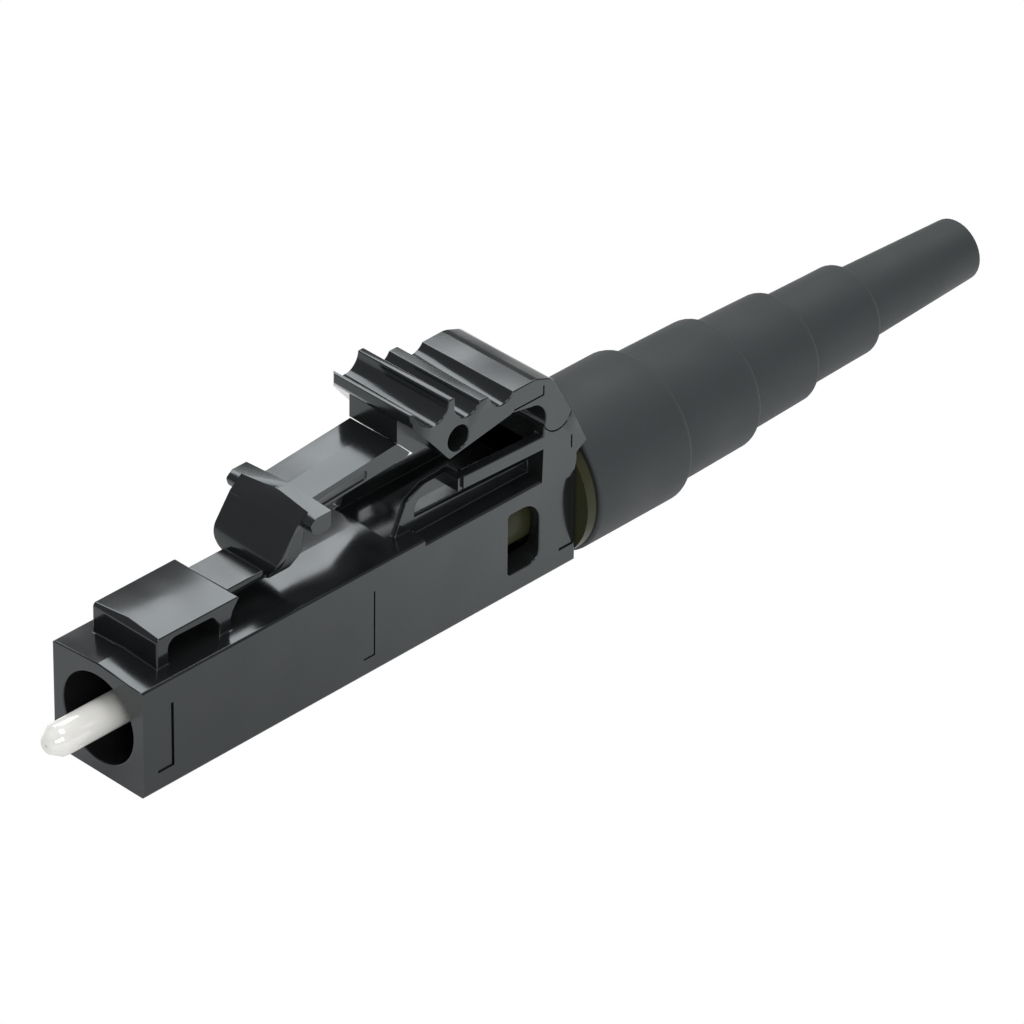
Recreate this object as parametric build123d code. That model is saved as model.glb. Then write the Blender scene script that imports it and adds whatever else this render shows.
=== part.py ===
"""Fibre optic connector: a small square plug with a latch arm, a ribbed release trigger,
a spring loaded ceramic ferrule, a splice with a cam sleeve, and a stepped rubber boot.

Millimetres, +Z up. The origin is on the ferrule axis at the front face of the housing.
+X runs from the front face to the boot, and the latch is on top.
"""
from math import atan2, degrees, radians, sqrt, tan
import os

from build123d import *

# Housing: a square tube with the latch root, the guard arms and the trigger root moulded on it
BODY_WIDTH = 4.52
BODY_LENGTH = 20.85
BODY_EDGE = 0.12
DRAFT_DEG = 3.8
FRONT_BORE_D = 3.5
FRONT_BORE_DEPTH = 6.4
SHOULDER_END = 7.3
CAVITY_D = 3.7

# Top of the housing behind the catch, with x from the housing's rear face
ROOF_END = -7.45
POCKET_START = -8.45
POCKET_FLOOR = 2.02
LEDGE_TOP = 1.9
RAIL_START = -7.3
RAIL_TOP = 2.6
RAIL_DROP = 0.2

# Root block of the latch
ROOT_START = 1.28
ROOT_END = 5.15
ROOT_WIDTH = 3.2
ROOT_TOP = 3.47
ROOT_BEVEL = 0.16
ROOT_PLATE = 0.36
ROOT_FRONT_LEG = 0.55
ROOT_REAR_LEG_START = 4.2
ROOT_REAR_LEG_END = 4.75
ROOT_WEB = 1.0

# Latch arm: strip, catch with two lugs, and the bar that the trigger presses
LATCH_HINGE_X = 5.2
STRIP_WIDTH = 1.95
STRIP_THICKNESS = 0.36
STRIP_TOP = 3.3
CATCH_FRONT = 6.83
CATCH_WIDTH = 3.3
CATCH_CORNER = 0.95
CATCH_LOW = 3.08
CATCH_PLATE = 0.45
NECK_WIDTH = 2.2
LUG_SPAN = 4.2
LUG_REAR = 9.0
LUG_LENGTH = 0.53
LUG_TOP = 5.46
LUG_HEIGHT = 0.86
LUG_BOTTOM_CORNER = 0.38
ARM_WIDTH = 2.32
ARM_END = -7.85
ARM_END_TOP = 5.79
ARM_DEPTH = 0.78
ARM_SLANT = 0.7
ARM_PANEL_START = 9.25
ARM_PANEL_END = 11.6
ARM_PANEL_DEPTH = 0.05
FLEX_GAP = 0.015

# Trigger and its webs, with x from the housing's rear face
TRIGGER_HINGE_X = -0.95
TRIGGER_HINGE_Z = 4.45
KNUCKLE_D = 1.44
NOSE_CORNER = (-6.3, 4.94)
NOSE_TIP = (-7.92, 7.29)
NOSE_TIP_WIDTH = 3.66
NOSE_TAPER = 0.75
NOSE_KNEE = 0.09
RIDGE_TOPS = (7.37, 6.67)
VALLEYS = ((-7.08, 7.36, 1.44), (-5.42, 6.95, 1.28), (-3.73, 6.62, 1.2))
SHOULDER_TOP = 6.33
WEB_INNER_WIDTH = 2.4
WEB_OPEN_TOP = 3.2
PAD_WIDTH = 2.36
PAD_FRONT = -7.8
PAD_GAP = 0.03
CLIP_HOLE_D = 1.0
CLIP_HOLE_X = -5.88
CLIP_HOLE_Z = 5.62
TRIGGER_LINE_START = -3.15
TRIGGER_LINE_Z = 5.48
TRIGGER_LINE_TOP = 5.9
LINE_WIDTH = 0.07
LINE_DEPTH = 0.15

# Slots and guard arms in the side plates, with x from the housing's rear face
SLOT_END_X = -1.65
UPPER_SLOT_D = 1.5
UPPER_SLOT_X = -2.3
UPPER_SLOT_Z = 4.5
BAR_START_X = -5.6
BAR_TOP = 3.9
BAR_DEPTH = 0.52
BAR_THICKNESS = 0.42
BAR_SLOPE_DEG = 2.3
LEG_OUTER_Y = 1.5
LEG_THICKNESS = 0.25

# Window and shallow panels in the side faces, with x from the housing's rear face where it is negative
WINDOW_START = -3.35
WINDOW_END = -1.8
WINDOW_TOP = 1.17
WINDOW_BOTTOM = -1.38
WINDOW_FRONT_CORNER = 0.14
WINDOW_TOP_CORNER = 0.85
WINDOW_BOTTOM_CORNER = 0.5
PANEL_DEPTH = 0.06
PANEL_TOP = 1.12
PANEL_BOTTOM = -1.5
FRONT_PANEL_START = 0.66
FRONT_PANEL_END = 1.42
REAR_PANEL_START = -0.8
REAR_PANEL_END = -0.08
REAR_PANEL_TOP = 1.45
SLIT_X = -0.24
SLIT_TOP = 3.2
SLIT_BOTTOM = 2.65
SNAP_LINE_X = 10.97
SNAP_HOOK = 0.55

# Ferrule, fibre and their holder, which slide back against the spring
FERRULE_D = 1.25
FERRULE_TIP_X = -2.4
FERRULE_NOSE = ((0, 0.375), (0.05, 0.295), (0.5, 0.025), (0.75, 0))
FERRULE_END_X = 8.1
FERRULE_SEAT_D = 0.8
FERRULE_SEAT_START = 6.35
FIBRE_D = 0.125
FIBRE_HOLE_D = 0.127
HOLDER_START = 6.9
HOLDER_NECK_D = 1.9
NECK_GAP = 0.1
FLANGE_LENGTH = 1.0
FLANGE_D = 3.4
FLANGE_FLAT = 0.15
HOLDER_BODY_D = 1.9
HOLDER_BORE_D = 0.4
HOLDER_REAR = -1.85
FLOAT_TRAVEL = 0.8

# Splice inside the holder, with x from the housing's rear face
SPLICE_START = -4.95
SPLICE_END = -2.25
SPLICE_GAP = 0.02
SPLICE_WIDTH = 1.1
SPLICE_FLOOR = -0.5
SPLICE_ROOF = 0.62
KEY_WIDTH = 0.6
KEY_START = -4.35
KEY_END = -2.85
KEY_GAP = 0.1

# Backbone, which holds the spring, the cam sleeve, the clamp and the boot, with x from the rear face
BACKBONE_START = -7.55
BACKBONE_RING_LENGTH = 1.7
BORE_GAP = 0.05
TUBE_BORE_D = HOLDER_BODY_D + 2 * BORE_GAP
TUBE_WALL = 0.3
TUBE_D = TUBE_BORE_D + 2 * TUBE_WALL
TUBE_REAR = 8.15
BARB_START = 2.35
BARB_PITCH = 0.9
BARB_COUNT = 3
REAR_BORE_D = 1.7

# Cam sleeve, seen through the window and as a collar in front of the boot
CAM_GAP = 0.03
CAM_D = 3.5
CAM_FLANGE_D = 5.7
CAM_FLANGE_GAP = 0.05
CAM_TAIL_GAP = 0.1
CAM_FLANGE_LENGTH = 0.42
CAM_FLAT_ACROSS = 3.2
CAM_FLAT_START = -3.65
CAM_FLAT_END = -1.35
CAM_RELIEF = 0.12

# Spring
SPRING_WIRE_D = 0.3
SPRING_MEAN_D = 2.6
SPRING_TURNS = 7

# Rear pieces round the coated fibre, with x from the housing's rear face
GUIDE_GAP = 0.2
GUIDE_LENGTH = 2.9
GUIDE_BORE_D = 0.6
GUIDE_FUNNEL_D = 1.4
GUIDE_FUNNEL_LENGTH = 0.9
CLAMP_START = 4.15
CLAMP_LENGTH = 3.6
CLAMP_SOLID = 0.8
CLAMP_BORE_D = 1.0
CLAMP_SLOT = 0.2
RING_START = 5.75
RING_REAR_WALL = 0.4
RING_WALL = 0.2

# Boot in five sections, each with its length and its front and rear diameter
BOOT_GAP = 0.13
BOOT_SECTIONS = (
    (4.83, 5.94, 5.94),
    (4.0, 5.26, 5.12),
    (3.5, 4.51, 4.33),
    (3.7, 3.73, 3.57),
    (5.92, 2.9, 2.45),
)
BOOT_SHOULDER = 0.1
BOOT_ROUND = 0.3
BOOT_RIM = 0.14
BOOT_CAVITY_D = TUBE_D + 2 * RING_WALL
BOOT_CAVITY_CONE = 0.8
BOOT_CAVITY_SPARE = 0.6
BOOT_CABLE_D = 1.1

HALF = BODY_WIDTH / 2
REAR = BODY_LENGTH
ROOF_SLOPE = tan(radians(DRAFT_DEG))
SEAM = 0.02
SHARP = 0.02
BEYOND = 1.0


def slab(outline, y_low, y_high):
    """A flat piece with its outline in X and Z, from y_low to y_high."""
    face = make_face(Plane.XZ * Polyline(*outline, close=True))
    return Pos(0, y_low, 0) * extrude(face, y_high - y_low, dir=(0, 1, 0))


def rounded_slab(corners, y_low, y_high):
    """As slab, with each corner given as x, z and its radius."""
    points = [(x, z) for x, z, radius in corners]
    radii = [radius for x, z, radius in corners]
    line = FilletPolyline(*points, radius=radii, close=True)
    return Pos(0, y_low, 0) * extrude(make_face(Plane.XZ * line), y_high - y_low, dir=(0, 1, 0))


def from_rear(corners):
    """The corners with x measured from the housing's rear face, in the part's own x."""
    return [(REAR + corner[0], *corner[1:]) for corner in corners]


def block(x_low, x_high, y_low, y_high, z_low, z_high):
    """A box between two corners."""
    size = Box(x_high - x_low, y_high - y_low, z_high - z_low)
    return Pos((x_low + x_high) / 2, (y_low + y_high) / 2, (z_low + z_high) / 2) * size


def rod(x_low, x_high, diameter):
    """A cylinder along the ferrule axis."""
    return Pos((x_low + x_high) / 2, 0, 0) * Rot(0, 90, 0) * Cylinder(diameter / 2, x_high - x_low)


def turned(profile):
    """A piece turned about the ferrule axis, from its x and radius points."""
    face = make_face(Plane.XZ * Polyline(*profile, close=True))
    return revolve(face, Axis.X)


def pin_across(x, z, diameter, y_half=HALF + BEYOND):
    """A cylinder across the connector."""
    return Pos(x, 0, z) * Rot(90, 0, 0) * Cylinder(diameter / 2, 2 * y_half)


def both_sides(piece):
    """The piece with its mirror image on the other side of the middle."""
    return piece + mirror(piece, Plane.XZ)


def roof(x_low, x_high, z_low, z_mid, half):
    """A prism along X whose top falls to both sides from the middle, as a drafted mould leaves it."""
    edge = z_mid - half * ROOF_SLOPE
    points = ((-half, z_low), (half, z_low), (half, edge), (0, z_mid), (-half, edge))
    face = make_face(Plane.YZ * Polyline(*points, close=True))
    return Pos(x_low, 0, 0) * extrude(face, x_high - x_low, dir=(1, 0, 0))


def shell_outline():
    """Side outline of the trigger, its webs and the rear plates, before they are parted."""
    tip_x, tip_z = NOSE_TIP
    front_top, rear_top = RIDGE_TOPS
    second, third = VALLEYS[1], VALLEYS[2]
    return from_rear((
        (*NOSE_CORNER, 0.1), (tip_x + 0.09, tip_z - 0.55, 0.3), (tip_x - 0.03, tip_z - 0.34, 0.05),
        (tip_x, tip_z, 0.05), (second[0] - 0.64, front_top, 0.1), (second[0] - 0.6, second[1] - 0.15, SHARP),
        (second[0], rear_top, SHARP), (third[0] - 0.7, rear_top, 0.12), (third[0] - 0.46, third[1] - 0.32, SHARP),
        (-2.1, SHOULDER_TOP, 0.9), (-1.23, 6.0, 0.6), (0.06, 3.66, 0.9), (0.57, 2.62, 0.08),
        (0.04, 2.32, 0.2), (0.0, LEDGE_TOP, SHARP), (0.0, 0.0, SHARP), (SLOT_END_X, 0.0, SHARP),
        (SLOT_END_X, 4.4, SHARP), (UPPER_SLOT_X, UPPER_SLOT_Z + UPPER_SLOT_D / 2, SHARP),
        (-3.25, 5.44, 0.2),
    ))


def slot_end():
    """Round rear end of the long slot under the trigger."""
    return pin_across(REAR + UPPER_SLOT_X, UPPER_SLOT_Z, UPPER_SLOT_D)


def knuckle(clearance):
    """The round root that the trigger turns about, with all that lies above it."""
    out = HALF + BEYOND
    above = block(0, 2 * REAR, -out, out, TRIGGER_HINGE_Z, 4 * HALF)
    return above + pin_across(REAR + TRIGGER_HINGE_X, TRIGGER_HINGE_Z, KNUCKLE_D + 2 * clearance)


def shell():
    """Trigger, webs and rear plates in one, with the slot and the opening at the back."""
    piece = rounded_slab(shell_outline(), -HALF, HALF) - slot_end()
    inner = WEB_INNER_WIDTH / 2
    rear = REAR + SLOT_END_X
    return piece - block(rear - UPPER_SLOT_D, REAR + BEYOND, -inner, inner, -BEYOND, WEB_OPEN_TOP)


def nose_plan():
    """Plan of the trigger from above, rounded in to both sides of its tip."""
    tip = REAR + NOSE_TIP[0]
    half = NOSE_TIP_WIDTH / 2
    knee = tip + NOSE_TAPER * 0.37
    before = tip - NOSE_TAPER
    rise = (HALF - NOSE_KNEE - half) / (knee - tip)
    side = [
        (before, half - NOSE_TAPER * rise, SHARP), (knee, HALF - NOSE_KNEE, 0.5),
        (tip + NOSE_TAPER, HALF, SHARP), (REAR + BEYOND, HALF + BEYOND, SHARP),
    ]
    corners = side + [(x, -y, radius) for x, y, radius in reversed(side)]
    points = [(x, y) for x, y, radius in corners]
    line = FilletPolyline(*points, radius=[radius for x, y, radius in corners], close=True)
    return extrude(make_face(line), 4 * HALF, dir=(0, 0, 1))


def pad():
    """Block under the trigger's nose that presses on the sloped end of the latch arm."""
    half = PAD_WIDTH / 2
    low = NOSE_CORNER[1]
    line = ARM_END + ARM_END_TOP + PAD_GAP * sqrt(2)
    outline = (
        (PAD_FRONT, NOSE_TIP[1] - 0.6), (PAD_FRONT, line - PAD_FRONT), (line - low, low),
        (NOSE_CORNER[0], low), (NOSE_CORNER[0], NOSE_TIP[1] - 1.2),
    )
    return slab(from_rear(outline), -half, half)


def trigger():
    """Ribbed thumb piece with the hole for a clip that joins two connectors."""
    piece = shell() & knuckle(0)
    piece = (piece & nose_plan()) + pad()
    for x, z, diameter in VALLEYS:
        piece -= pin_across(REAR + x, z, diameter)
    piece -= pin_across(REAR + CLIP_HOLE_X, CLIP_HOLE_Z, CLIP_HOLE_D)
    foot = REAR + TRIGGER_LINE_START
    end = REAR + SLOT_END_X
    deep = HALF - LINE_DEPTH
    line = block(foot, end, deep, HALF + BEYOND, TRIGGER_LINE_Z, TRIGGER_LINE_Z + LINE_WIDTH)
    line += block(end - LINE_WIDTH, end, deep, HALF + BEYOND, TRIGGER_LINE_Z, TRIGGER_LINE_TOP)
    return piece - both_sides(line)


def body_shape():
    """The square tube with its drafted roof, its side ledges and the floor between the rails."""
    roof_end = REAR + ROOF_END
    piece = roof(0, roof_end, -HALF, HALF, HALF)
    piece += block(roof_end, REAR, -HALF, HALF, -HALF, LEDGE_TOP)
    long_edges = piece.edges().filter_by(Axis.X)
    piece = fillet([e for e in long_edges if abs(e.center().Y) > HALF - SEAM], BODY_EDGE)
    piece += block(roof_end, REAR, -LEG_OUTER_Y, LEG_OUTER_Y, 0, POCKET_FLOOR)
    inner = LEG_OUTER_Y - LEG_THICKNESS
    return piece - block(REAR + POCKET_START, REAR + BEYOND, -inner, inner, POCKET_FLOOR, 2 * HALF)


def rails():
    """Two low rails between the pocket and the side ledges."""
    start = REAR + RAIL_START
    end = REAR + SLOT_END_X + UPPER_SLOT_D / 4
    outline = (
        (start, LEDGE_TOP - 0.5), (start, RAIL_TOP), (end, RAIL_TOP - RAIL_DROP), (end, LEDGE_TOP - 0.5),
    )
    return both_sides(slab(outline, LEG_OUTER_Y - LEG_THICKNESS, LEG_OUTER_Y))


def latch_root():
    """Block on the housing that carries the latch arm, cored out from both sides."""
    foot = ROOT_TOP - 2
    outline = (
        (ROOT_START, foot), (ROOT_START, ROOT_TOP - ROOT_BEVEL * 1.4),
        (ROOT_START + ROOT_BEVEL, ROOT_TOP), (ROOT_END - ROOT_BEVEL, ROOT_TOP),
        (ROOT_END, ROOT_TOP - ROOT_BEVEL), (ROOT_REAR_LEG_END + 0.1, 2.9),
        (ROOT_REAR_LEG_END, 2.6), (ROOT_REAR_LEG_END, foot),
    )
    half = ROOT_WIDTH / 2
    piece = slab(outline, -half, half) & roof(0, ROOT_END + BEYOND, 1, ROOT_TOP, half)
    under = ROOT_TOP - ROOT_PLATE
    arch = (
        (ROOT_START + ROOT_FRONT_LEG, 1.4, SHARP), (ROOT_START + ROOT_FRONT_LEG, under, 0.35),
        (ROOT_REAR_LEG_START - 0.3, under - 0.05, 0.3), (ROOT_REAR_LEG_START, 2.6, 0.2),
        (ROOT_REAR_LEG_START, 1.4, SHARP),
    )
    return piece - both_sides(rounded_slab(arch, ROOT_WEB / 2, half + BEYOND))


def guard_arm():
    """Bar beside the trigger that turns inwards and curves down to the housing's top."""
    inner = LEG_OUTER_Y - LEG_THICKNESS
    run = SLOT_END_X + 0.4 - BAR_START_X
    drop = run * tan(radians(BAR_SLOPE_DEG))
    low = BAR_TOP - BAR_DEPTH
    start = BAR_START_X
    bar = rounded_slab(from_rear((
        (start, BAR_TOP, 0.1), (start + run, BAR_TOP - drop, SHARP),
        (start + run, low - drop, SHARP), (start, low, SHARP),
    )), HALF - BAR_THICKNESS, HALF)
    jog = rounded_slab(from_rear((
        (start - 0.18, BAR_TOP - 0.08, 0.08), (start + 0.22, BAR_TOP - 0.02, 0.08),
        (start + 0.22, low, SHARP), (start - 0.18, low - 0.1, SHARP),
    )), inner, HALF - 0.1)
    leg = rounded_slab(from_rear((
        (start + 0.05, 3.8, SHARP), (-6.75, 3.8, 0.5), (-7.65, 3.4, 0.6), (-7.99, 2.7, 0.4),
        (-8.22, 2.1, SHARP), (-7.23, 2.1, SHARP), (-7.23, 3.28, 0.4), (start + 0.05, 3.25, SHARP),
    )), inner, LEG_OUTER_Y)
    return both_sides(bar + jog + leg)


def side_marks():
    """Shallow panels and lines in the two side faces."""
    out = HALF + BEYOND
    shallow = HALF - PANEL_DEPTH
    deep = HALF - LINE_DEPTH
    w = LINE_WIDTH
    cut = block(FRONT_PANEL_START, FRONT_PANEL_END, shallow, out, PANEL_BOTTOM, PANEL_TOP)
    cut += block(FRONT_PANEL_END - w, FRONT_PANEL_END, deep, out, PANEL_BOTTOM, PANEL_TOP)
    cut += block(SNAP_LINE_X - w, SNAP_LINE_X, deep, out, PANEL_BOTTOM, PANEL_TOP)
    cut += block(SNAP_LINE_X - SNAP_HOOK, SNAP_LINE_X, deep, out, PANEL_BOTTOM - w, PANEL_BOTTOM)
    cut += block(REAR + REAR_PANEL_START, REAR + REAR_PANEL_END, shallow, out, PANEL_BOTTOM, REAR_PANEL_TOP)
    cut += block(REAR + SLIT_X - w / 2, REAR + SLIT_X + w / 2, deep, out, SLIT_BOTTOM, SLIT_TOP)
    return both_sides(cut)


def window():
    """Window through both side walls, with a straight front and a round rear."""
    outline = (
        (WINDOW_START, WINDOW_BOTTOM, WINDOW_FRONT_CORNER), (WINDOW_START, WINDOW_TOP, WINDOW_FRONT_CORNER),
        (WINDOW_END, WINDOW_TOP, WINDOW_TOP_CORNER), (WINDOW_END, WINDOW_BOTTOM, WINDOW_BOTTOM_CORNER),
    )
    return rounded_slab(from_rear(outline), -HALF - BEYOND, HALF + BEYOND)


def housing():
    """Outer housing in one piece: tube, latch root, guard arms, rear plates and webs."""
    piece = body_shape() + latch_root() + rails()
    piece += shell() - knuckle(FLEX_GAP)
    piece += guard_arm()
    piece -= rod(-BEYOND, FRONT_BORE_DEPTH, FRONT_BORE_D)
    piece -= rod(0, SHOULDER_END + SEAM, HOLDER_NECK_D + 2 * NECK_GAP)
    piece -= rod(SHOULDER_END, REAR + BEYOND, CAVITY_D)
    piece -= window()
    piece -= side_marks()
    # room for the cam's flange under the tail of the rear plates
    piece -= rod(REAR, REAR + BEYOND, CAM_FLANGE_D + 2 * CAM_TAIL_GAP)
    # groove that the round root of the latch arm lies in
    root_d = STRIP_THICKNESS + 2 * FLEX_GAP
    return piece - pin_across(LATCH_HINGE_X, strip_mid(), root_d, STRIP_WIDTH / 2 + FLEX_GAP)


def strip_mid():
    """Height of the middle of the latch arm's thin strip."""
    return STRIP_TOP - STRIP_THICKNESS / 2


def catch_plate():
    """Front plate of the catch, which leans back and has rounded lower corners."""
    low = CATCH_LOW
    x = CATCH_FRONT
    half = CATCH_WIDTH / 2
    top_x = LUG_REAR - LUG_LENGTH
    side = rounded_slab((
        (x, low, SHARP), (x, 3.68, 1.2), (x + 0.95, 4.93, 0.6), (top_x, LUG_TOP, 0.04),
        (top_x + CATCH_PLATE, LUG_TOP, SHARP), (x + 0.42 + CATCH_PLATE, 4.6, 0.3),
        (x + CATCH_PLATE, 3.72, 0.5), (x + CATCH_PLATE - 0.08, low, SHARP),
    ), -half, half)
    corners = ((half, low), (-half, low), (-half, 2 * LUG_TOP), (half, 2 * LUG_TOP))
    radii = [CATCH_CORNER, CATCH_CORNER, SHARP, SHARP]
    front = make_face(Plane.YZ * FilletPolyline(*corners, radius=radii, close=True))
    return side & (Pos(x - BEYOND, 0, 0) * extrude(front, 3 * BEYOND, dir=(1, 0, 0)))


def latch_arm():
    """Latch: thin strip, catch with two lugs, and the arm that the trigger presses."""
    low = STRIP_TOP - STRIP_THICKNESS
    half = STRIP_WIDTH / 2
    neck = NECK_WIDTH / 2
    x = CATCH_FRONT
    strip = block(LATCH_HINGE_X, x + CATCH_PLATE / 2, -half, half, low, STRIP_TOP)
    strip += pin_across(LATCH_HINGE_X, strip_mid(), STRIP_THICKNESS, half)
    body = rounded_slab((
        (x + 0.15, low, SHARP), (x + 1.17, low, 0.35), (x + 1.75, 3.3, 0.4), (LUG_REAR - 0.25, 4.55, SHARP),
        (LUG_REAR - 0.25, 5.1, SHARP), (x + 1.4, 5.1, SHARP), (x + 0.2, 3.7, SHARP),
    ), -neck, neck)
    front = LUG_REAR - LUG_LENGTH
    lug_low = LUG_TOP - LUG_HEIGHT
    lugs = rounded_slab((
        (front + 0.02, LUG_TOP, SHARP), (LUG_REAR, LUG_TOP, SHARP), (LUG_REAR, lug_low, 0.22),
        (front - 0.3, lug_low, LUG_BOTTOM_CORNER), (front - 0.44, LUG_TOP - 0.36, 0.1),
    ), -LUG_SPAN / 2, LUG_SPAN / 2)
    top = (catch_plate() + lugs) & roof(x - BEYOND, LUG_REAR + BEYOND, 0, LUG_TOP, LUG_SPAN / 2)
    return strip + body + top + latch_bar()


def latch_bar():
    """Rear arm of the latch, rising to the rear, with a sloped end and a shallow side panel."""
    half = ARM_WIDTH / 2
    end = REAR + ARM_END
    start = LUG_REAR - LUG_LENGTH / 4
    over = 2 * ARM_SLANT
    piece = slab(
        ((start, LUG_TOP + over), (end - over, ARM_END_TOP + over),
         (end + ARM_SLANT, ARM_END_TOP - ARM_SLANT), (end + ARM_SLANT - 0.1, ARM_END_TOP - ARM_DEPTH),
         (start, LUG_TOP - ARM_DEPTH)),
        -half, half,
    )
    rise = degrees(atan2(ARM_END_TOP - LUG_TOP, end - LUG_REAR))
    tilted = Rot(0, -rise, 0) * roof(-BEYOND, end, -LUG_TOP, 0, half + SEAM)
    piece &= Pos(LUG_REAR, 0, LUG_TOP) * tilted
    panel = rounded_slab(
        ((ARM_PANEL_START, 4.84, 0.05), (ARM_PANEL_START, 5.17, 0.05),
         (ARM_PANEL_END, 5.33, 0.12), (ARM_PANEL_END, 4.98, 0.12)),
        half - ARM_PANEL_DEPTH, half + BEYOND,
    )
    return piece - both_sides(panel)


def ferrule():
    """Ceramic ferrule with a rounded cone at its tip and the fibre's hole."""
    tip = FERRULE_TIP_X
    full = FERRULE_D / 2
    hole = FIBRE_HOLE_D / 2
    nose = [(tip + along, full - drop) for along, drop in FERRULE_NOSE]
    return turned([
        (tip, hole), *nose, (FERRULE_SEAT_START, full), (FERRULE_SEAT_START, FERRULE_SEAT_D / 2),
        (FERRULE_END_X, FERRULE_SEAT_D / 2), (FERRULE_END_X, hole),
    ])


def fibre_stub():
    """Short fibre fixed in the ferrule, which ends in the middle of the splice."""
    return rod(FERRULE_TIP_X, REAR + (SPLICE_START + SPLICE_END) / 2, FIBRE_D)


def flange_start():
    """Front of the holder's flange, resting on the housing's shoulder."""
    return SHOULDER_END + SEAM


def holder_pocket():
    """Room for the two splice halves, open at the top for the key."""
    w = SPLICE_WIDTH / 2 + SPLICE_GAP
    start = REAR + SPLICE_START - SPLICE_GAP
    end = REAR + SPLICE_END + SPLICE_GAP
    return block(start, end, -w, w, SPLICE_FLOOR - SPLICE_GAP, HOLDER_BODY_D)


def ferrule_holder():
    """Carrier of the ferrule: neck, flange and a long body with the pocket of the splice."""
    neck = HOLDER_NECK_D / 2
    end = REAR + HOLDER_REAR
    flange_end = flange_start() + FLANGE_LENGTH
    piece = turned((
        (HOLDER_START, 0), (HOLDER_START, neck), (flange_start(), neck),
        (flange_start(), FLANGE_D / 2), (flange_end, FLANGE_D / 2),
        (flange_end, HOLDER_BODY_D / 2), (end, HOLDER_BODY_D / 2), (end, 0),
    ))
    side = FLANGE_D / 2 - FLANGE_FLAT
    flat = block(flange_start() + FLANGE_LENGTH / 5, flange_end + SEAM, side, FLANGE_D, -FLANGE_D, FLANGE_D)
    piece -= both_sides(flat)
    piece -= rod(HOLDER_START - BEYOND, FERRULE_END_X, FERRULE_SEAT_D)
    piece -= rod(FERRULE_END_X - SEAM, end + BEYOND, HOLDER_BORE_D)
    return piece - holder_pocket()


def fibre_groove():
    """Groove between the splice halves that lines the two fibres up."""
    out = BEYOND
    return rod(REAR + SPLICE_START - out, REAR + SPLICE_END + out, FIBRE_D + 2 * SPLICE_GAP)


def splice_lower():
    """Lower half of the splice."""
    w = SPLICE_WIDTH / 2
    start, end = REAR + SPLICE_START, REAR + SPLICE_END
    return block(start, end, -w, w, SPLICE_FLOOR, -SPLICE_GAP) - fibre_groove()


def splice_upper():
    """Upper half of the splice, with the key that the cam sleeve presses."""
    w = SPLICE_WIDTH / 2
    k = KEY_WIDTH / 2
    start, end = REAR + SPLICE_START, REAR + SPLICE_END
    piece = block(start, end, -w, w, SPLICE_GAP, SPLICE_ROOF) & rod(start, end, HOLDER_BODY_D)
    key_start, key_end = REAR + KEY_START, REAR + KEY_END
    key = block(key_start, key_end, -k, k, SPLICE_ROOF - SEAM, TUBE_D) & rod(key_start, key_end, TUBE_D)
    return piece + key - fibre_groove()


def guide_start():
    """Front of the lead-in tube, clear of the holder at the end of its travel."""
    return REAR + HOLDER_REAR + FLOAT_TRAVEL + GUIDE_GAP


def backbone():
    """Rear carrier: a ring in the housing, a tube through the cam sleeve and a barbed tail."""
    start = REAR + BACKBONE_START
    end = REAR + TUBE_REAR
    ring_end = start + BACKBONE_RING_LENGTH
    tube = TUBE_D / 2
    profile = [(start, TUBE_BORE_D / 2), (start, CAVITY_D / 2), (ring_end, CAVITY_D / 2), (ring_end, tube)]
    for i in range(BARB_COUNT):
        x = REAR + BARB_START + i * BARB_PITCH
        profile += [(x, tube), (x, BOOT_CAVITY_D / 2), (x + 0.8 * BARB_PITCH, tube)]
    profile += [
        (end, tube), (end, REAR_BORE_D / 2), (guide_start(), REAR_BORE_D / 2),
        (guide_start(), TUBE_BORE_D / 2),
    ]
    w = KEY_WIDTH / 2 + 2 * SPLICE_GAP
    slot = block(REAR + KEY_START - KEY_GAP, REAR + KEY_END + FLOAT_TRAVEL + KEY_GAP, -w, w, 0.5, TUBE_D)
    return turned(profile) - slot


def cam_front():
    """Front end of the cam sleeve, behind the backbone's ring."""
    return REAR + BACKBONE_START + BACKBONE_RING_LENGTH + CAM_FLANGE_GAP


def cam_rear():
    """Rear face of the cam sleeve's flange."""
    return REAR + CAM_FLANGE_GAP + CAM_FLANGE_LENGTH


def cam_sleeve():
    """Clear sleeve that a quarter turn brings down on the splice, with a flange behind the housing."""
    flange = REAR + CAM_FLANGE_GAP
    bore = TUBE_D / 2 + CAM_GAP
    piece = turned((
        (cam_front(), bore), (cam_front(), CAM_D / 2), (flange, CAM_D / 2), (flange, CAM_FLANGE_D / 2),
        (cam_rear(), CAM_FLANGE_D / 2), (cam_rear(), bore),
    ))
    far = CAM_D
    near = CAM_FLAT_ACROSS / 2
    flat = block(REAR + CAM_FLAT_START, REAR + CAM_FLAT_END, near, far, -far, far)
    for turn in (45, 135, 225, 315):
        piece -= Rot(turn, 0, 0) * flat
    w = KEY_WIDTH / 2
    room = 2 * KEY_GAP
    relief = block(REAR + KEY_START - room, REAR + KEY_END + FLOAT_TRAVEL + room, -far, far, -w, w)
    return piece - (relief & rod(cam_front(), REAR, TUBE_D + 2 * CAM_GAP + 2 * CAM_RELIEF))


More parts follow.
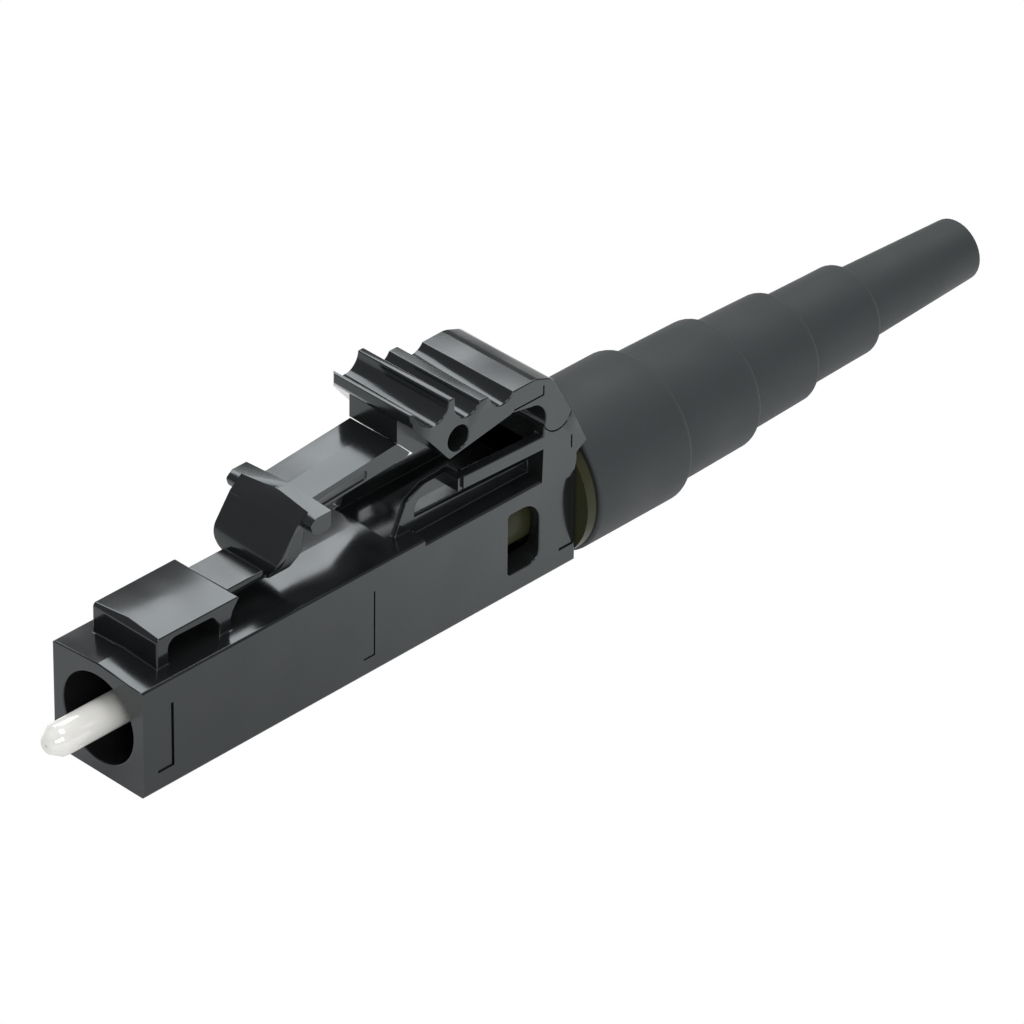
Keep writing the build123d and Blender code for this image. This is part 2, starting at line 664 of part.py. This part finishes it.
def spring():
    """Coil spring between the holder's flange and the backbone, with flat closed ends."""
    start = flange_start() + FLANGE_LENGTH + SEAM
    end = REAR + BACKBONE_START - SEAM
    wire = SPRING_WIRE_D / 2
    length = end - start - SPRING_WIRE_D
    path = Helix(pitch=length / SPRING_TURNS, height=length, radius=SPRING_MEAN_D / 2)
    section = Plane(origin=path @ 0, z_dir=path % 0) * Circle(wire)
    coil = sweep(section, path=path, is_frenet=True)
    ring = Torus(SPRING_MEAN_D / 2, wire)
    coil = coil + ring + Pos(0, 0, length) * ring
    return Pos(start + wire, 0, 0) * Rot(0, 90, 0) * coil


def lead_in_tube():
    """Funnel that leads the bare fibre into the splice."""
    start = guide_start() + SEAM
    end = start + GUIDE_LENGTH
    outer = REAR_BORE_D / 2
    return turned((
        (start, GUIDE_BORE_D / 2), (start, outer), (end, outer), (end, GUIDE_FUNNEL_D / 2),
        (end - GUIDE_FUNNEL_LENGTH, GUIDE_BORE_D / 2),
    ))


def buffer_clamp():
    """Slit collet that grips the fibre's coating."""
    start = REAR + CLAMP_START
    end = start + CLAMP_LENGTH
    piece = rod(start, end, REAR_BORE_D) - rod(start - BEYOND, end + BEYOND, CLAMP_BORE_D)
    w = CLAMP_SLOT / 2
    slit = block(start + CLAMP_SOLID, end + BEYOND, -w, w, -REAR_BORE_D, REAR_BORE_D)
    return piece - slit - Rot(90, 0, 0) * slit


def ring_rear():
    """Rear face of the metal ring over the backbone's end."""
    return REAR + TUBE_REAR + SEAM + RING_REAR_WALL


def clamp_ring():
    """Metal ring pressed over the backbone's rear end."""
    start = REAR + RING_START
    inner = TUBE_D / 2
    outer = inner + RING_WALL
    bore = REAR_BORE_D / 2
    lip = REAR + TUBE_REAR + SEAM
    return turned((
        (start, inner), (start, outer), (ring_rear(), outer), (ring_rear(), bore), (lip, bore), (lip, inner),
    ))


def boot():
    """Rubber boot: five tapered sections with rounded steps, and a hole for the coated fibre."""
    start = cam_rear() + BOOT_GAP
    cavity = BOOT_CAVITY_D / 2
    cavity_end = ring_rear() + BOOT_CAVITY_SPARE
    first = BOOT_SECTIONS[0][1] / 2
    corners = [(start, cavity, SHARP), (start, first, BOOT_RIM)]
    x = start
    for i, (length, front_d, rear_d) in enumerate(BOOT_SECTIONS):
        if i:
            corners.append((x, front_d / 2, SHARP))
        x += length
        last = i == len(BOOT_SECTIONS) - 1
        corners.append((x - (0 if last else BOOT_SHOULDER), rear_d / 2, BOOT_RIM if last else BOOT_ROUND))
    corners += [
        (x, BOOT_CABLE_D / 2, SHARP), (cavity_end + BOOT_CAVITY_CONE, BOOT_CABLE_D / 2, SHARP),
        (cavity_end, cavity, SHARP),
    ]
    points = [(along, radius) for along, radius, rounding in corners]
    radii = [rounding for along, radius, rounding in corners]
    return revolve(make_face(Plane.XZ * FilletPolyline(*points, radius=radii, close=True)), Axis.X)


PIECES = {
    "housing": housing,
    "latch_arm": latch_arm,
    "trigger": trigger,
    "ferrule": ferrule,
    "fibre_stub": fibre_stub,
    "ferrule_holder": ferrule_holder,
    "splice_lower": splice_lower,
    "splice_upper": splice_upper,
    "spring": spring,
    "backbone": backbone,
    "cam_sleeve": cam_sleeve,
    "lead_in_tube": lead_in_tube,
    "buffer_clamp": buffer_clamp,
    "clamp_ring": clamp_ring,
    "boot": boot,
}

os.makedirs("parts", exist_ok=True)
for name, make in PIECES.items():
    export_step(make(), f"parts/{name}.step")
    print(name)
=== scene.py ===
"""The looks of the fibre optic connector: finishes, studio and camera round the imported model."""
from math import cos, radians, sin

import bpy
from mathutils import Matrix, Vector
from mathutils.bvhtree import BVHTree


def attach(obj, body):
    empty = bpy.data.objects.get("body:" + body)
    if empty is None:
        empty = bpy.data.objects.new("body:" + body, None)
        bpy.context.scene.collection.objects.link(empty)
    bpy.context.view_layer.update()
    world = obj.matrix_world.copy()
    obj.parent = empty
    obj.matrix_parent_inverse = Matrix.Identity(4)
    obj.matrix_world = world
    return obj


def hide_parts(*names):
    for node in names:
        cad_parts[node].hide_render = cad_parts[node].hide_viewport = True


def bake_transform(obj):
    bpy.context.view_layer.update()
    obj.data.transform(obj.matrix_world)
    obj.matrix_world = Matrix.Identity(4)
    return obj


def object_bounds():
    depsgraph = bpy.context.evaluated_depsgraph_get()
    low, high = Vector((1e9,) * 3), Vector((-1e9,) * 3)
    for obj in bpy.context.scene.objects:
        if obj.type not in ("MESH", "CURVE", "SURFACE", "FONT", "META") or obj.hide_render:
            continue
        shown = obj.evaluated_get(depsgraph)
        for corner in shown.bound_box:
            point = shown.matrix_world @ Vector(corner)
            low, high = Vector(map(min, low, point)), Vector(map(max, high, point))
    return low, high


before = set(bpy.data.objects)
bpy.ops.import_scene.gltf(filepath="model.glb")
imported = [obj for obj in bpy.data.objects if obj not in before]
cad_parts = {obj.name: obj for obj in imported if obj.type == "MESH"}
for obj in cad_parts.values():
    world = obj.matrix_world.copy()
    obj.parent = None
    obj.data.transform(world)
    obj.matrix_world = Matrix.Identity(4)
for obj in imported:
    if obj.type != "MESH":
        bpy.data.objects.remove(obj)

MM = 0.001
CAD_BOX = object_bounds()

# Camera, as found from the edges of the square housing: angles in degrees, the roll in radians
CAMERA_AZIMUTH = -45.55
CAMERA_ELEVATION = 33.85
CAMERA_ROLL = 0.0142
CAMERA_DISTANCE = 277.06 * MM
CAMERA_LENS_PIXELS = 8140.4
CAMERA_CLIP = (0.01, 20)
IMAGE_PIXELS = 1024
SENSOR_MM = 36.0
# Scale of the photograph at the part's origin, and where it shows that origin
PIXELS_PER_MM = 29.3818
ORIGIN_PIXEL = (98.136, 717.971)

# White, as the camera sees the background
WHITE = (1, 1, 1, 1)
WHITE_STRENGTH = 1.0
# Light from all around
ROOM_COLOR = (0.98, 0.99, 1.0, 1)
ROOM_STRENGTH = 0.3

# Floor, just under the thick end of the boot
FLOOR_SIZE = 3
FLOOR_DROP = 0.02 * MM
FLOOR_MIDDLE = 20 * MM
FLOOR_COLOR = (0.5, 0.5, 0.5)
FLOOR_ROUGHNESS = 0.9
# Faint glow of the floor, stronger towards the boot, which the side faces mirror
FLOOR_GLOW = (0.36, 0.8)
FLOOR_GLOW_COLOR = (1.0, 1.0, 1.0)
FLOOR_RAMP = (4 * MM, 26 * MM)

# How far apart points are that count as one, for mouldings and for round pieces
MERGE = 0.02 * MM
MERGE_FINE = 0.001 * MM
# Faces that turn by less than this are one face
FLAT_ANGLE = radians(0.6)
# Edges that turn by more than this are rounded
SHARP_ANGLE = radians(28)
# Edges that turn by more than this stay crisp in the shading
SMOOTH_ANGLE = radians(50)

# Rounding of the moulded edges, and the number of steps in it
EDGE_ROUND = 0.05 * MM
ROUND_STEPS = 3
# A rounding is undone where it leaves the moulding by more than this share of its width
STRAY_SHARE = 0.7
# How far round such a place the edges stay sharp, in widths of the rounding
STRAY_REACH = 2.5
ROUND_TRIES = 8
# How much a face's size counts in the shading of its corners, from 1 to 100
SIZE_WEIGHT = 80
# Two faces wider than this meet in a crease when they turn by more than the angle
CREASE_WIDTH = 0.36 * MM
CREASE_ANGLE = radians(1.5)

# The shallow marks of the side faces keep sharp edges: their place across, and their top
MARK_LOW = 2.05 * MM
MARK_HIGH = 2.25 * MM
MARK_TOP = 5.95 * MM
# The narrow gap between the latch arm's end and the trigger's pad keeps sharp edges too
GAP_PLACE = 13.0 * MM
GAP_REACH = 0.8 * MM
GAP_BASE = 3.9 * MM
# Faces larger than this don't belong to a mark or to the gap
MARK_AREA = 1.0 * MM * MM

# Unevenness of moulded faces: how often it comes per metre, and how deep it is
GRAIN_SCALE = 9000.0
GRAIN_DEPTH = 0.01 * MM
PATCH_SCALE = 700.0
SAG_SCALE = 260.0
SAG_DEPTH = 0.06 * MM
# The part of the patches' noise over which the gloss changes
GLOSS_RANGE = (0.3, 0.7)
# Patches of a plain finish: how many times lighter they are, and how much is added to roughness
PLAIN_LIGHTER = 1.12
PLAIN_ROUGHER = 0.08


# Studio
def camera_axes():
    """Right, up and back of the camera."""
    az = radians(CAMERA_AZIMUTH)
    el = radians(CAMERA_ELEVATION)
    back = Vector((sin(az) * cos(el), -cos(az) * cos(el), sin(el)))
    right = (-back).cross(Vector((0, 0, 1))).normalized()
    up = right.cross(-back)
    c, s = cos(CAMERA_ROLL), sin(CAMERA_ROLL)
    return right * c + up * s, up * c - right * s, back


def add_camera():
    """The camera of the photograph."""
    right, up, back = camera_axes()
    half = IMAGE_PIXELS / 2
    aside = (ORIGIN_PIXEL[0] - half) / PIXELS_PER_MM * MM
    above = (half - ORIGIN_PIXEL[1]) / PIXELS_PER_MM * MM
    place = back * CAMERA_DISTANCE - right * aside - up * above
    data = bpy.data.cameras.new("photo_camera")
    data.sensor_width = SENSOR_MM
    data.lens = CAMERA_LENS_PIXELS / IMAGE_PIXELS * SENSOR_MM
    data.clip_start, data.clip_end = CAMERA_CLIP
    camera = bpy.data.objects.new("photo_camera", data)
    turn = Matrix((right, up, back)).transposed()
    camera.matrix_world = Matrix.Translation(place) @ turn.to_4x4()
    bpy.context.scene.collection.objects.link(camera)
    bpy.context.scene.camera = camera


def add_softbox(name, place, aim, size, power):
    """A neutral rectangular lamp that faces the aim."""
    data = bpy.data.lights.new(name, "AREA")
    data.shape = "RECTANGLE"
    data.size, data.size_y = size
    data.energy = power
    box = bpy.data.objects.new(name, data)
    box.location = place
    box.rotation_euler = (Vector(place) - Vector(aim)).to_track_quat("Z", "Y").to_euler()
    bpy.context.scene.collection.objects.link(box)


def white_seen_directly(tree, shader):
    """White where the camera sees it, straight or through glass, and the shader for all other light."""
    path = tree.nodes.new("ShaderNodeLightPath")
    seen = tree.nodes.new("ShaderNodeMath")
    seen.operation = "MAXIMUM"
    tree.links.new(path.outputs["Is Camera Ray"], seen.inputs[0])
    tree.links.new(path.outputs["Is Transmission Ray"], seen.inputs[1])
    white = tree.nodes.new("ShaderNodeEmission")
    white.inputs["Color"].default_value = WHITE
    white.inputs["Strength"].default_value = WHITE_STRENGTH
    mix = tree.nodes.new("ShaderNodeMixShader")
    tree.links.new(seen.outputs[0], mix.inputs["Fac"])
    tree.links.new(shader, mix.inputs[1])
    tree.links.new(white.outputs[0], mix.inputs[2])
    return mix.outputs[0]


def add_world():
    """Faint light from all around, and a background that the camera sees as white."""
    world = bpy.data.worlds.new("studio")
    world.use_nodes = True
    tree = world.node_tree
    plain = tree.nodes["Background"]
    plain.inputs["Color"].default_value = ROOM_COLOR
    plain.inputs["Strength"].default_value = ROOM_STRENGTH
    out = tree.nodes["World Output"]
    path = tree.nodes.new("ShaderNodeLightPath")
    white = tree.nodes.new("ShaderNodeBackground")
    white.inputs["Color"].default_value = WHITE
    white.inputs["Strength"].default_value = WHITE_STRENGTH
    mix = tree.nodes.new("ShaderNodeMixShader")
    tree.links.new(path.outputs["Is Camera Ray"], mix.inputs["Fac"])
    tree.links.new(plain.outputs[0], mix.inputs[1])
    tree.links.new(white.outputs[0], mix.inputs[2])
    tree.links.new(mix.outputs[0], out.inputs["Surface"])
    bpy.context.scene.world = world


def add_floor():
    """The floor, which glows more towards the boot."""
    height = CAD_BOX[0][2] - FLOOR_DROP
    bpy.ops.mesh.primitive_plane_add(size=FLOOR_SIZE, location=(FLOOR_MIDDLE, 0, height))
    floor = bpy.context.object
    floor.name = "floor"
    mat, paint = new_finish("floor_white", FLOOR_COLOR, FLOOR_ROUGHNESS)
    tree = mat.node_tree
    paint.inputs["Emission Color"].default_value = (*FLOOR_GLOW_COLOR, 1)
    place = tree.nodes.new("ShaderNodeTexCoord")
    split = tree.nodes.new("ShaderNodeSeparateXYZ")
    ramp = tree.nodes.new("ShaderNodeMapRange")
    ramp.interpolation_type = "SMOOTHSTEP"
    ramp.inputs["From Min"].default_value = FLOOR_RAMP[0] - FLOOR_MIDDLE
    ramp.inputs["From Max"].default_value = FLOOR_RAMP[1] - FLOOR_MIDDLE
    ramp.inputs["To Min"].default_value = FLOOR_GLOW[0]
    ramp.inputs["To Max"].default_value = FLOOR_GLOW[1]
    tree.links.new(place.outputs["Object"], split.inputs[0])
    tree.links.new(split.outputs["X"], ramp.inputs["Value"])
    tree.links.new(ramp.outputs["Result"], paint.inputs["Emission Strength"])
    seen = white_seen_directly(tree, paint.outputs[0])
    tree.links.new(seen, tree.nodes["Material Output"].inputs["Surface"])
    floor.data.materials.append(mat)


# Effects that several finishes share
def group_with(name, inputs, outputs):
    """A new node group with these sockets, and its input and output nodes."""
    group = bpy.data.node_groups.new(name, "ShaderNodeTree")
    for label, kind, value in inputs:
        socket = group.interface.new_socket(label, in_out="INPUT", socket_type=kind)
        socket.default_value = value
    for label, kind in outputs:
        group.interface.new_socket(label, in_out="OUTPUT", socket_type=kind)
    return group, group.nodes.new("NodeGroupInput"), group.nodes.new("NodeGroupOutput")


def moulded_grain():
    """Fine grain of a moulded face, a slow patchiness, and the sag of wide walls, each from 0 to 1."""
    group, given, out = group_with(
        "moulded_grain",
        [("Grain Size", "NodeSocketFloat", GRAIN_SCALE), ("Patch Size", "NodeSocketFloat", PATCH_SCALE)],
        [("Height", "NodeSocketFloat"), ("Patches", "NodeSocketFloat"), ("Sag", "NodeSocketFloat")],
    )
    links = group.links
    place = group.nodes.new("ShaderNodeTexCoord")
    fine = group.nodes.new("ShaderNodeTexNoise")
    fine.inputs["Detail"].default_value = 0.0
    slow = group.nodes.new("ShaderNodeTexNoise")
    slow.inputs["Detail"].default_value = 1.0
    links.new(place.outputs["Object"], fine.inputs["Vector"])
    links.new(place.outputs["Object"], slow.inputs["Vector"])
    links.new(given.outputs["Grain Size"], fine.inputs["Scale"])
    links.new(given.outputs["Patch Size"], slow.inputs["Scale"])
    links.new(fine.outputs["Fac"], out.inputs["Height"])
    links.new(slow.outputs["Fac"], out.inputs["Patches"])
    sag = group.nodes.new("ShaderNodeTexNoise")
    sag.inputs["Scale"].default_value = SAG_SCALE
    sag.inputs["Detail"].default_value = 1.0
    links.new(place.outputs["Object"], sag.inputs["Vector"])
    links.new(sag.outputs["Fac"], out.inputs["Sag"])


def new_finish(name, color, roughness):
    """A new material of one colour, and the paint in it."""
    mat = bpy.data.materials.new(name)
    mat.use_nodes = True
    paint = mat.node_tree.nodes["Principled BSDF"]
    paint.inputs["Base Color"].default_value = (*color, 1)
    paint.inputs["Roughness"].default_value = roughness
    return mat, paint


def grained(name, colors, rough, grain, patch, bump, wave=0.0):
    """A finish with two close colours in patches, uneven gloss and a fine grain, and its paint."""
    mat, paint = new_finish(name, colors[0], rough[0])
    tree = mat.node_tree
    effect = tree.nodes.new("ShaderNodeGroup")
    effect.node_tree = bpy.data.node_groups["moulded_grain"]
    effect.inputs["Grain Size"].default_value = grain
    effect.inputs["Patch Size"].default_value = patch
    tint = tree.nodes.new("ShaderNodeMix")
    tint.data_type = "RGBA"
    tint.inputs["A"].default_value = (*colors[0], 1)
    tint.inputs["B"].default_value = (*colors[1], 1)
    gloss = tree.nodes.new("ShaderNodeMapRange")
    gloss.inputs["From Min"].default_value = GLOSS_RANGE[0]
    gloss.inputs["From Max"].default_value = GLOSS_RANGE[1]
    gloss.inputs["To Min"].default_value = rough[0]
    gloss.inputs["To Max"].default_value = rough[1]
    relief = tree.nodes.new("ShaderNodeBump")
    relief.inputs["Strength"].default_value = bump
    relief.inputs["Distance"].default_value = GRAIN_DEPTH
    tree.links.new(effect.outputs["Patches"], tint.inputs["Factor"])
    tree.links.new(tint.outputs["Result"], paint.inputs["Base Color"])
    tree.links.new(effect.outputs["Patches"], gloss.inputs["Value"])
    tree.links.new(gloss.outputs["Result"], paint.inputs["Roughness"])
    tree.links.new(effect.outputs["Height"], relief.inputs["Height"])
    tree.links.new(relief.outputs["Normal"], paint.inputs["Normal"])
    if wave:
        sag = tree.nodes.new("ShaderNodeBump")
        sag.inputs["Strength"].default_value = 1.0
        sag.inputs["Distance"].default_value = wave
        tree.links.new(effect.outputs["Sag"], sag.inputs["Height"])
        tree.links.new(sag.outputs["Normal"], relief.inputs["Normal"])
    return mat, paint


# Finishes
def black_plastic():
    """Glossy black of the mouldings, with a faint cool cast in its shine."""
    mat, paint = grained(
        "black_plastic", colors=((0.008, 0.0085, 0.009), (0.012, 0.0125, 0.013)),
        rough=(0.11, 0.2), grain=3200, patch=500, bump=0.03, wave=SAG_DEPTH,
    )
    paint.inputs["IOR"].default_value = 1.55
    paint.inputs["Specular Tint"].default_value = (0.86, 0.96, 1.0, 1)
    return mat


def slate_rubber():
    """Dull dark grey of the boot."""
    return grained(
        "slate_rubber", colors=((0.021, 0.026, 0.028), (0.028, 0.033, 0.035)),
        rough=(0.66, 0.76), grain=5000, patch=400, bump=0.2,
    )[0]


def white_ceramic():
    """Polished white of the ferrule."""
    mat, paint = grained(
        "white_ceramic", colors=((0.84, 0.83, 0.79), (0.87, 0.86, 0.82)),
        rough=(0.12, 0.16), grain=2500, patch=900, bump=0.01,
    )
    paint.inputs["IOR"].default_value = 1.9
    return mat


def olive_clear_painted_shade():
    """Olive of the cam sleeve, which lets a little light through, with painted shade: darkened to how it
    looks in the shade between housing and boot.
    """
    # Painted shade: these colours are darkened to the shade that the sleeve lies in between housing and
    # boot
    mat, paint = grained(
        "olive_clear_painted_shade", colors=((0.028, 0.029, 0.014), (0.036, 0.037, 0.018)),
        rough=(0.28, 0.36), grain=9000, patch=600, bump=0.05,
    )
    paint.inputs["IOR"].default_value = 1.58
    paint.inputs["Transmission Weight"].default_value = 0.08
    paint.inputs["Specular IOR Level"].default_value = 0.05
    return mat


def clear_fibre():
    """Glass of the fibre stub."""
    mat, paint = grained(
        "clear_fibre", colors=((0.85, 0.85, 0.83), (0.9, 0.9, 0.88)),
        rough=(0.05, 0.1), grain=12000, patch=900, bump=0.01,
    )
    paint.inputs["Transmission Weight"].default_value = 0.3
    paint.inputs["IOR"].default_value = 1.46
    return mat


def plain_finish(name, color, roughness, metallic=0.0):
    """Plain finish of a piece that is hidden inside."""
    other = tuple(min(1.0, c * PLAIN_LIGHTER) for c in color)
    mat, paint = grained(
        name, colors=(color, other), rough=(roughness, roughness + PLAIN_ROUGHER),
        grain=8000, patch=500, bump=0.08,
    )
    paint.inputs["Metallic"].default_value = metallic
    return mat


def dress(piece, mat):
    """Gives a piece its finish."""
    slots = piece.data.materials
    if not slots:
        slots.append(mat)
    for i in range(len(slots)):
        slots[i] = mat


def dress_nodes(black):
    """Finishes of the CAD nodes."""
    pale = plain_finish("pale_plastic", (0.72, 0.72, 0.68), 0.35)
    metal = plain_finish("plain_metal", (0.75, 0.75, 0.76), 0.3, 1.0)
    dark_metal = plain_finish("dark_metal", (0.16, 0.15, 0.13), 0.4, 1.0)
    finishes = {
        "housing": black, "latch_arm": black, "trigger": black,
        "ferrule": white_ceramic(), "fibre_stub": clear_fibre(),
        "ferrule_holder": plain_finish("holder_plastic", (0.42, 0.42, 0.4), 0.4),
        "splice_lower": pale, "splice_upper": pale, "lead_in_tube": pale,
        "spring": plain_finish("spring_wire", (0.6, 0.6, 0.6), 0.25, 1.0),
        "backbone": plain_finish("dark_plastic", (0.05, 0.05, 0.05), 0.45),
        "cam_sleeve": olive_clear_painted_shade(), "buffer_clamp": metal, "clamp_ring": dark_metal,
        "boot": slate_rubber(),
    }
    for node, mat in finishes.items():
        dress(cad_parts[node], mat)


# Merged copies of CAD nodes
def only(piece):
    """Selects this piece alone and makes it the active one."""
    bpy.ops.object.select_all(action="DESELECT")
    piece.select_set(True)
    bpy.context.view_layer.objects.active = piece


def merged_copy(node, merge):
    """A merged copy of a CAD node, which is seen in its place."""
    piece = bpy.data.objects.new(node + "_moulding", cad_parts[node].data.copy())
    bpy.context.scene.collection.objects.link(piece)
    only(piece)
    bpy.ops.object.mode_set(mode="EDIT")
    bpy.ops.mesh.customdata_custom_splitnormals_clear()
    bpy.ops.mesh.select_all(action="SELECT")
    bpy.ops.mesh.remove_doubles(threshold=merge)
    bpy.ops.mesh.dissolve_limited(angle_limit=FLAT_ANGLE)
    bpy.ops.mesh.normals_make_consistent(inside=False)
    bpy.ops.object.mode_set(mode="OBJECT")
    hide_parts(node)
    return piece


def copy_of(node, body, merge=MERGE):
    """A merged copy of a CAD node, which rides on its body."""
    piece = merged_copy(node, merge)
    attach(piece, body)
    return piece


def shade_smoothly(piece):
    """Shades a piece smoothly, except at its sharp edges."""
    only(piece)
    bpy.ops.object.shade_smooth_by_angle(angle=SMOOTH_ANGLE)


# Rounding of the mouldings' edges
def side_mark(place):
    """Whether a point lies in one of the shallow marks of the side faces."""
    return MARK_LOW < abs(place.y) < MARK_HIGH and place.z < MARK_TOP


def at_gap(place):
    """Whether a point lies at the narrow gap between latch arm and pad."""
    return abs(place.x - GAP_PLACE) < GAP_REACH and place.z > GAP_BASE


def sharp_edges(piece):
    """Indices of the edges to round: the sharp ones, apart from those at a side mark or the gap."""
    only(piece)
    bpy.ops.object.mode_set(mode="EDIT")
    bpy.ops.mesh.select_mode(type="EDGE")
    bpy.ops.mesh.select_all(action="DESELECT")
    bpy.ops.mesh.edges_select_sharp(sharpness=SHARP_ANGLE)
    bpy.ops.object.mode_set(mode="OBJECT")
    mesh = piece.data
    marked = {v.index for v in mesh.vertices if side_mark(v.co) or at_gap(v.co)}
    near = set()
    for face in mesh.polygons:
        if face.area < MARK_AREA and marked.intersection(face.vertices):
            near.update(face.vertices)
    return [e.index for e in mesh.edges if e.select and not near.issuperset(e.vertices)]


def mark_creases(mesh):
    """Keeps the shading crisp where two wide flat faces meet at a small angle."""
    lengths = {
        e.key: (mesh.vertices[e.vertices[0]].co - mesh.vertices[e.vertices[1]].co).length
        for e in mesh.edges
    }
    sides = {}
    for face in mesh.polygons:
        width = face.area / max(lengths[key] for key in face.edge_keys)
        for key in face.edge_keys:
            sides.setdefault(key, []).append((face.normal, width))
    for edge in mesh.edges:
        faces = sides.get(edge.key, [])
        if len(faces) != 2 or min(faces[0][1], faces[1][1]) < CREASE_WIDTH:
            continue
        if faces[0][0].angle(faces[1][0], 0) > CREASE_ANGLE:
            edge.use_edge_sharp = True


def bevel_edges(piece, chosen):
    """Rounds the chosen edges of a piece."""
    weight = piece.data.attributes.new("bevel_weight_edge", "FLOAT", "EDGE")
    for index in chosen:
        weight.data[index].value = 1.0
    only(piece)
    bevel = piece.modifiers.new("edges", "BEVEL")
    bevel.limit_method = "WEIGHT"
    bevel.width = EDGE_ROUND
    bevel.segments = ROUND_STEPS
    bevel.use_clamp_overlap = False
    bpy.ops.object.modifier_apply(modifier=bevel.name)


def stray_places(mesh, surface):
    """Places on the surface next to which a rounded edge ran off it."""
    limit = STRAY_SHARE * EDGE_ROUND
    strays = {v.index for v in mesh.vertices if surface.find_nearest(v.co)[3] > limit}
    places = []
    for edge in mesh.edges:
        first, second = edge.vertices
        if (first in strays) != (second in strays):
            places.append(mesh.vertices[second if first in strays else first].co.copy())
    return places


def round_edges(piece):
    """Rounds the sharp edges of a moulding, and leaves sharp those that would run off its surface."""
    chosen = sharp_edges(piece)
    mark_creases(piece.data)
    plain = piece.data.copy()
    corners = [v.co.copy() for v in plain.vertices]
    ends = [tuple(e.vertices) for e in plain.edges]
    surface = BVHTree.FromPolygons(corners, [tuple(face.vertices) for face in plain.polygons])
    reach = STRAY_REACH * EDGE_ROUND
    for _ in range(ROUND_TRIES):
        piece.data = plain.copy()
        bevel_edges(piece, chosen)
        places = stray_places(piece.data, surface)
        if not places:
            break
        tight = {
            i for i, corner in enumerate(corners)
            if any((corner - place).length < reach for place in places)
        }
        chosen = [index for index in chosen if not tight.intersection(ends[index])]
    shade_smoothly(piece)
    even = piece.modifiers.new("even", "WEIGHTED_NORMAL")
    even.keep_sharp = True
    even.weight = SIZE_WEIGHT
    bpy.ops.object.modifier_apply(modifier=even.name)


# Pieces that are seen in place of their CAD nodes
def add_mouldings(mat):
    """The three black mouldings with rounded edges."""
    for node, body in (("housing", "shell"), ("latch_arm", "latch"), ("trigger", "release")):
        piece = copy_of(node, body)
        round_edges(piece)
        dress(piece, mat)


def add_ferrule(mat):
    """The ferrule with a smoothly polished nose."""
    piece = copy_of("ferrule", "ferrule_carrier", MERGE_FINE)
    shade_smoothly(piece)
    dress(piece, mat)


def add_spring(mat):
    """The spring, smoothly shaded, which stays where it is."""
    piece = merged_copy("spring", MERGE_FINE)
    shade_smoothly(piece)
    dress(piece, mat)
    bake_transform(piece)


# Scene
bpy.context.scene.view_settings.view_transform = "Standard"
moulded_grain()
black = black_plastic()
dress_nodes(black)
add_mouldings(black)
add_ferrule(bpy.data.materials["white_ceramic"])
add_spring(bpy.data.materials["spring_wire"])
add_floor()
add_world()
add_softbox("key_box", place=(-0.02, -0.1, 0.48), aim=(0.02, 0, 0), size=(0.25, 0.25), power=1.0)
add_softbox("back_sheet", place=(0.28, 0.26, 0.37), aim=(0.02, 0, 0.004), size=(0.7, 0.2), power=1.9)
add_softbox("front_box", place=(-0.22, -0.38, 0.25), aim=(0.02, 0, 0), size=(0.12, 0.16), power=0.7)
add_camera()
